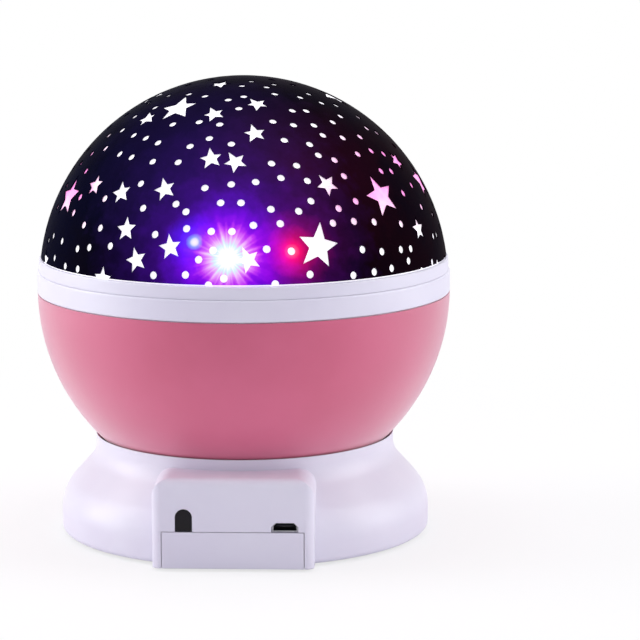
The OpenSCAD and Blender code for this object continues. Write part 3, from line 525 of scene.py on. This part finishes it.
# three sets of spokes, each by its count and its turn in radians
raySet = {"spokes": ((11, 0.3), (17, 1.9), (29, 4.1)), "sharpness": 3.0, "fade": (6 * mm, 16 * mm)}
printSet = {
    "centre": (0.0, 0.0, 76.59 * mm),
    "radius": 61.8 * mm,
    "navy": "#020218",
    "maroon": "#10020A",
    "ink": "#05020D",
    "maroonOver": (-25 * mm, 40 * mm),
    "cloudSize": 24 * mm,
    "cloudSpan": (0.4, 0.65),
    "cloudShare": 0.8,
    "mottleSize": 5 * mm,
    "uneven": (0.9, 1.12),
    "rough": (0.42, 0.56),
    "specular": 0.004,
}


def starRays(tree, offset, outward, away, strength):
    # how much longer the painted glow reaches along its painted spokes of light than between them
    side = Vector((0, 0, 1)).cross(outward).normalized()
    across = addNode(tree, "ShaderNodeVectorMath", [offset, side], operation="DOT_PRODUCT")
    up = addNode(tree, "ShaderNodeVectorMath", [offset, outward.cross(side)], operation="DOT_PRODUCT")
    angle = addNode(tree, "ShaderNodeMath", [up, across], operation="ARCTAN2")
    spokes = 0.0
    for count, phase in raySet["spokes"]:
        turned = addNode(tree, "ShaderNodeMath", [angle, count, phase], operation="MULTIPLY_ADD")
        wave = addNode(tree, "ShaderNodeMath", [turned], operation="SINE")
        half = addNode(tree, "ShaderNodeMath", [wave, 0.5, 0.5], operation="MULTIPLY_ADD")
        sharp = addNode(tree, "ShaderNodeMath", [half, raySet["sharpness"]], operation="POWER")
        spokes = addNode(tree, "ShaderNodeMath", [sharp, spokes], operation="ADD")
    share = addNode(tree, "ShaderNodeMapRange", [away, *raySet["fade"], strength, 0.0])
    return addNode(tree, "ShaderNodeMath", [spokes, share, 1.0], operation="MULTIPLY_ADD")


def lampGlow(tree, place, uneven, look):
    # colour of one lamp's light, painted into the ink as glow
    turn, rise = math.radians(look["turn"]), math.radians(look["rise"])
    outward = Vector((math.cos(rise) * math.sin(turn), -math.cos(rise) * math.cos(turn), math.sin(rise)))
    middle = Vector(printSet["centre"]) + outward * printSet["radius"]
    offset = addNode(tree, "ShaderNodeVectorMath", [place, middle], operation="SUBTRACT")
    away = addNode(tree, "ShaderNodeVectorMath", [offset], operation="LENGTH")
    reached = addNode(tree, "ShaderNodeMath", [away, uneven], operation="MULTIPLY")
    if look["rays"] > 0:
        longer = starRays(tree, offset, outward, away, look["rays"])
        reached = addNode(tree, "ShaderNodeMath", [reached, longer], operation="DIVIDE")
    far = addNode(tree, "ShaderNodeMapRange", [reached, 0.0, look["reach"] * mm, 0.0, 1.0])
    stops = [(distance / look["reach"], colour) for distance, colour in look["colours"]]
    return addNode(tree, "ShaderNodeValToRGB", [far], stops=stops)


def darkPrint(tree, place, look):
    # dark ink printed on clear film; the lamplight coming through it is painted in as emitted glow
    cloud = addNode(
        tree,
        "ShaderNodeTexNoise",
        {"Vector": place, "Scale": 1 / look["cloudSize"], "Detail": 5.0, "Roughness": 0.6},
    )
    mottle = addNode(
        tree,
        "ShaderNodeTexNoise",
        {"Vector": place, "Scale": 1 / look["mottleSize"], "Detail": 4.0, "Roughness": 0.6},
    )
    side = addNode(tree, "ShaderNodeSeparateXYZ", [place]).outputs["X"]
    rightward = addNode(tree, "ShaderNodeMapRange", [side, *look["maroonOver"], 0.0, 1.0])
    clouded = addNode(tree, "ShaderNodeMapRange", [cloud, *look["cloudSpan"], 0.0, look["cloudShare"]])
    ink = addNode(tree, "ShaderNodeMix", [rightward, look["navy"], look["maroon"]], data_type="RGBA")
    ink = addNode(tree, "ShaderNodeMix", [clouded, ink, look["ink"]], data_type="RGBA")
    uneven = addNode(tree, "ShaderNodeMapRange", [mottle, 0.3, 0.7, *look["uneven"]])
    glow = "#000000"
    for lamp in glowSets.values():
        light = lampGlow(tree, place, uneven, lamp)
        glow = addNode(tree, "ShaderNodeMix", [1.0, glow, light], data_type="RGBA", blend_type="ADD")
    return addNode(
        tree,
        "ShaderNodeBsdfPrincipled",
        {
            "Base Color": ink,
            "Roughness": addNode(tree, "ShaderNodeMapRange", [mottle, 0.0, 1.0, *look["rough"]]),
            "IOR": 1.45,
            "Specular IOR Level": look["specular"],
            "Emission Color": glow,
            "Emission Strength": 1.0,
        },
    )


materials["dark_print"] = makeMaterial("dark_print", darkPrint, printSet)

domeSet = {
    "milk": "#F1EFF5",
    "light": "#FDFCFF",
    # painted pink light for the band at both sides, used in the dome's colour and its glow
    "pinkLight": "#EE8CD0",
    "middle": -6 * mm,
    "sideSpan": (28 * mm, 40 * mm),
    "lowSpan": (94 * mm, 106 * mm),
    "highSpan": (116 * mm, 130 * mm),
    "cloudSize": 9 * mm,
    "cloudShare": (0.75, 1.15),
    "rough": (0.25, 0.4),
    # strength of the painted glow, since the dome is no lamp
    "glow": 0.6,
}


def milkyDome(tree, place, look):
    # clear acrylic dome with painted lamplight: a painted white glow in front, and painted pink light in a
    # band at both sides, in both its colour and its glow
    axes = addNode(tree, "ShaderNodeSeparateXYZ", [place]).outputs
    moved = addNode(tree, "ShaderNodeMath", [axes["X"], -look["middle"]], operation="ADD")
    reach = addNode(tree, "ShaderNodeMath", [moved], operation="ABSOLUTE")
    cloud = addNode(
        tree, "ShaderNodeTexNoise", {"Vector": place, "Scale": 1 / look["cloudSize"], "Detail": 3.0}
    )
    # share of painted pink light: strongest at both sides, between low and high, uneven
    pinkLightShare = addNode(tree, "ShaderNodeMapRange", [reach, *look["sideSpan"], 0.0, 1.0])
    for share in (
        addNode(tree, "ShaderNodeMapRange", [axes["Z"], *look["lowSpan"], 0.0, 1.0]),
        addNode(tree, "ShaderNodeMapRange", [axes["Z"], *look["highSpan"], 1.0, 0.0]),
        addNode(tree, "ShaderNodeMapRange", [cloud, 0.3, 0.6, *look["cloudShare"]]),
    ):
        pinkLightShare = addNode(tree, "ShaderNodeMath", [pinkLightShare, share], operation="MULTIPLY")
    pinkLightShare = addNode(tree, "ShaderNodeMath", [pinkLightShare, 1.0], operation="MINIMUM")
    return addNode(
        tree,
        "ShaderNodeBsdfPrincipled",
        {
            "Base Color": addNode(
                tree, "ShaderNodeMix", [pinkLightShare, look["milk"], look["pinkLight"]], data_type="RGBA"
            ),
            "Roughness": addNode(tree, "ShaderNodeMapRange", [cloud, 0.0, 1.0, *look["rough"]]),
            "IOR": 1.49,
            "Emission Color": addNode(
                tree, "ShaderNodeMix", [pinkLightShare, look["light"], look["pinkLight"]], data_type="RGBA"
            ),
            "Emission Strength": look["glow"],
        },
    )


materials["clear_dome"] = makeMaterial("clear_dome", milkyDome, domeSet)

for node in cadNodes.values():
    for slot in node.material_slots:
        slot.material = materials[slot.material.name.split(".")[0]]
print("materials:", len(materials))


def grownPiece(name, layOut, numbers, body, slot):
    # builds a tree with one named input for each size, runs it once, keeps the result as a plain mesh
    # and hands it to its body
    tree = bpy.data.node_groups.new(name, "GeometryNodeTree")
    tree.interface.new_socket("Geometry", in_out="OUTPUT", socket_type="NodeSocketGeometry")
    inputIds = {}
    for label, value in numbers.items():
        kind = "NodeSocketInt" if isinstance(value, int) else "NodeSocketFloat"
        inputIds[label] = tree.interface.new_socket(label, in_out="INPUT", socket_type=kind).identifier
    laid = layOut(tree, tree.nodes.new("NodeGroupInput").outputs)
    solid = addNode(tree, "GeometryNodeRealizeInstances", {"Geometry": laid})
    painted = addNode(tree, "GeometryNodeSetMaterial", {"Geometry": solid, "Material": materials[slot]})
    addNode(tree, "NodeGroupOutput", {"Geometry": painted})
    holder = bpy.data.objects.new(name + "Holder", bpy.data.meshes.new(name + "Seed"))
    bpy.context.scene.collection.objects.link(holder)
    grow = holder.modifiers.new("grow", "NODES")
    grow.node_group = tree
    for label, value in numbers.items():
        grow[inputIds[label]] = value
    ready = holder.evaluated_get(bpy.context.evaluated_depsgraph_get())
    mesh = bpy.data.meshes.new_from_object(ready)
    bpy.data.objects.remove(holder)
    piece = bpy.data.objects.new(name, mesh)
    bpy.context.scene.collection.objects.link(piece)
    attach(piece, body)
    return piece


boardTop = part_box("lamp_board")[1][2]


def ringPlaces(tree, sizes, lift):
    # points on a ring that is turned about the lamp's axis and lies on the board
    ring = addNode(
        tree,
        "GeometryNodeMeshCircle",
        {"Vertices": sizes["Count"], "Radius": sizes["Ring"]},
        fill_type="NONE",
    )
    turn = addNode(tree, "ShaderNodeCombineXYZ", {"Z": sizes["Turn"]})
    return addNode(
        tree,
        "GeometryNodeTransform",
        {"Geometry": ring, "Rotation": turn, "Translation": (0, 0, boardTop + lift)},
    )


def facingOut(tree, places, instance):
    # one instance at each place, with its X pointing away from the axis
    place = addNode(tree, "GeometryNodeInputPosition")
    turn = addNode(tree, "FunctionNodeAlignRotationToVector", {"Vector": place}, axis="X", pivot_axis="Z")
    return addNode(
        tree, "GeometryNodeInstanceOnPoints", {"Points": places, "Instance": instance, "Rotation": turn}
    )


resistorSet = {
    "Count": 8,
    "Ring": 10.2 * mm,
    "Turn": math.radians(37.5),
    "Length": 2.0 * mm,
    "Width": 1.25 * mm,
    "Height": 0.5 * mm,
}


def boardResistors(tree, sizes):
    # small chip resistors lying outwards on the lamp board
    size = addNode(tree, "ShaderNodeCombineXYZ", [sizes["Length"], sizes["Width"], sizes["Height"]])
    chip = addNode(tree, "GeometryNodeMeshCube", {"Size": size})
    return facingOut(tree, ringPlaces(tree, sizes, resistorSet["Height"] / 2), chip)


resistorCapSet = resistorSet | {
    "Length": 2.04 * mm,
    "Width": 1.29 * mm,
    "Height": 0.54 * mm,
    "Cap": 0.4 * mm,
}


def resistorCaps(tree, sizes):
    # tinned ends of the chip resistors
    size = addNode(tree, "ShaderNodeCombineXYZ", [sizes["Cap"], sizes["Width"], sizes["Height"]])
    cap = addNode(tree, "GeometryNodeMeshCube", {"Size": size})
    gap = addNode(tree, "ShaderNodeMath", [sizes["Length"], sizes["Cap"]], operation="SUBTRACT")
    halfBack = addNode(tree, "ShaderNodeMath", [gap, -0.5], operation="MULTIPLY")
    start = addNode(tree, "ShaderNodeCombineXYZ", {"X": halfBack})
    step = addNode(tree, "ShaderNodeCombineXYZ", {"X": gap})
    ends = addNode(tree, "GeometryNodeMeshLine", {"Count": 2, "Start Location": start, "Offset": step})
    pair = addNode(tree, "GeometryNodeInstanceOnPoints", {"Points": ends, "Instance": cap})
    return facingOut(tree, ringPlaces(tree, sizes, resistorCapSet["Height"] / 2), pair)


solderSet = {
    "Count": 8,
    "Ring": 15.0 * mm,
    "Turn": math.radians(15),
    "Radius": 0.62 * mm,
    "Tip": 0.18 * mm,
    "Height": 0.5 * mm,
    "Sides": 16,
    "Steps": 3,
}


def solderJoints(tree, sizes):
    # small cones of solder beside the lamps' collars
    joint = addNode(
        tree,
        "GeometryNodeMeshCone",
        {
            "Vertices": sizes["Sides"],
            "Side Segments": sizes["Steps"],
            "Radius Top": sizes["Tip"],
            "Radius Bottom": sizes["Radius"],
            "Depth": sizes["Height"],
        },
    )
    return addNode(
        tree, "GeometryNodeInstanceOnPoints", {"Points": ringPlaces(tree, sizes, 0.0), "Instance": joint}
    )


pinSet = {"Count": 5, "Pitch": 0.65 * mm, "Width": 0.26 * mm, "Length": 3.6 * mm, "Height": 0.12 * mm}
pinsFromMouth = 2.6 * mm
pinsOverMiddle = 0.12 * mm


def socketPins(tree, sizes):
    # five spring contacts in a row on the socket's tongue
    size = addNode(tree, "ShaderNodeCombineXYZ", [sizes["Width"], sizes["Length"], sizes["Height"]])
    pin = addNode(tree, "GeometryNodeMeshCube", {"Size": size})
    low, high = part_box("usb_socket")
    start = (
        (low[0] + high[0]) / 2 - (pinSet["Count"] - 1) / 2 * pinSet["Pitch"],
        low[1] + pinsFromMouth,
        (low[2] + high[2]) / 2 + pinsOverMiddle,
    )
    step = addNode(tree, "ShaderNodeCombineXYZ", {"X": sizes["Pitch"]})
    row = addNode(
        tree, "GeometryNodeMeshLine", {"Count": sizes["Count"], "Start Location": start, "Offset": step}
    )
    return addNode(tree, "GeometryNodeInstanceOnPoints", {"Points": row, "Instance": pin})


smallParts = [
    grownPiece("boardResistors", boardResistors, resistorSet, "base", "receiver_epoxy"),
    grownPiece("resistorCaps", resistorCaps, resistorCapSet, "base", "screw_steel"),
    grownPiece("solderJoints", solderJoints, solderSet, "base", "screw_steel"),
    grownPiece("socketPins", socketPins, pinSet, "base", "contact_steel"),
]
print("small parts:", len(smallParts))

floorSet = {"half": 4.0, "paper": "#F6F6F8", "nearWhite": 0.7, "fade": (0.09, 0.30)}


def whitePaper(tree, place, look):
    # matt paper that keeps the contact shadow and fades to plain white a little way out
    away = addNode(tree, "ShaderNodeVectorMath", [place], operation="LENGTH")
    whiter = addNode(tree, "ShaderNodeMapRange", [away, *look["fade"], look["nearWhite"], 1.0])
    seen = addNode(tree, "ShaderNodeLightPath").outputs["Is Camera Ray"]
    share = addNode(tree, "ShaderNodeMath", [seen, whiter], operation="MULTIPLY")
    matt = addNode(tree, "ShaderNodeBsdfDiffuse", {"Color": look["paper"]})
    bright = addNode(tree, "ShaderNodeEmission", {"Color": "#FFFFFF", "Strength": 1.0})
    paper = addNode(tree, "ShaderNodeMixShader", [share, matt, bright])
    # seen from below it is clear, so that the underside shows
    below = addNode(tree, "ShaderNodeNewGeometry").outputs["Backfacing"]
    clear = addNode(tree, "ShaderNodeBsdfTransparent")
    return addNode(tree, "ShaderNodeMixShader", [below, paper, clear])


def paperFloor(look):
    mesh = bpy.data.meshes.new("floor")
    half = look["half"]
    corners = [(-half, -half, 0), (half, -half, 0), (half, half, 0), (-half, half, 0)]
    mesh.from_pydata(corners, [], [(0, 1, 2, 3)])
    mesh.materials.append(makeMaterial("paper_floor", whitePaper, look))
    floor = bpy.data.objects.new("floor", mesh)
    bpy.context.scene.collection.objects.link(floor)


paperFloor(floorSet)
print("floor: set")

roomSet = {"light": "#EEEBFA", "strength": 0.42}


def whiteRoom(look):
    # plain white to the eye and in reflections, a softer light on the object
    world = bpy.data.worlds.new("whiteRoom")
    bpy.context.scene.world = world
    world.use_nodes = True
    tree = world.node_tree
    tree.nodes.clear()
    rays = addNode(tree, "ShaderNodeLightPath").outputs
    seen = rays["Is Camera Ray"]
    for kind in ("Is Glossy Ray", "Is Transmission Ray"):
        seen = addNode(tree, "ShaderNodeMath", [seen, rays[kind]], operation="MAXIMUM")
    room = addNode(tree, "ShaderNodeBackground", {"Color": look["light"], "Strength": look["strength"]})
    white = addNode(tree, "ShaderNodeBackground", {"Color": "#FFFFFF", "Strength": 1.0})
    both = addNode(tree, "ShaderNodeMixShader", [seen, room, white])
    addNode(tree, "ShaderNodeOutputWorld", {"Surface": both})


whiteRoom(roomSet)

softboxSets = {
    "topSoftbox": dict(at=(0.0, 0.1, 1.3), aim=(0, 0, 0.05), size=(1.0, 1.0), power=8.0),
    "leftSoftbox": dict(at=(-1.0, 0.05, 0.35), aim=(0, 0, 0.06), size=(0.6, 1.1), power=7.8),
    "rightSoftbox": dict(at=(1.0, 0.05, 0.35), aim=(0, 0, 0.06), size=(0.6, 1.1), power=5.7),
    "frontFill": dict(at=(0.1, -1.7, 0.5), aim=(0, 0, 0.06), size=(1.0, 0.6), power=1.5),
}


def softbox(name, look):
    data = bpy.data.lights.new(name, "AREA")
    data.shape = "RECTANGLE"
    data.size, data.size_y = look["size"]
    data.energy = look["power"]
    light = bpy.data.objects.new(name, data)
    light.location = look["at"]
    towards = Vector(look["aim"]) - light.location
    light.rotation_euler = towards.to_track_quat("-Z", "Y").to_euler()
    bpy.context.scene.collection.objects.link(light)


for name, look in softboxSets.items():
    softbox(name, look)
print("lights:", len(softboxSets))

bpy.context.scene.view_settings.view_transform = "Standard"
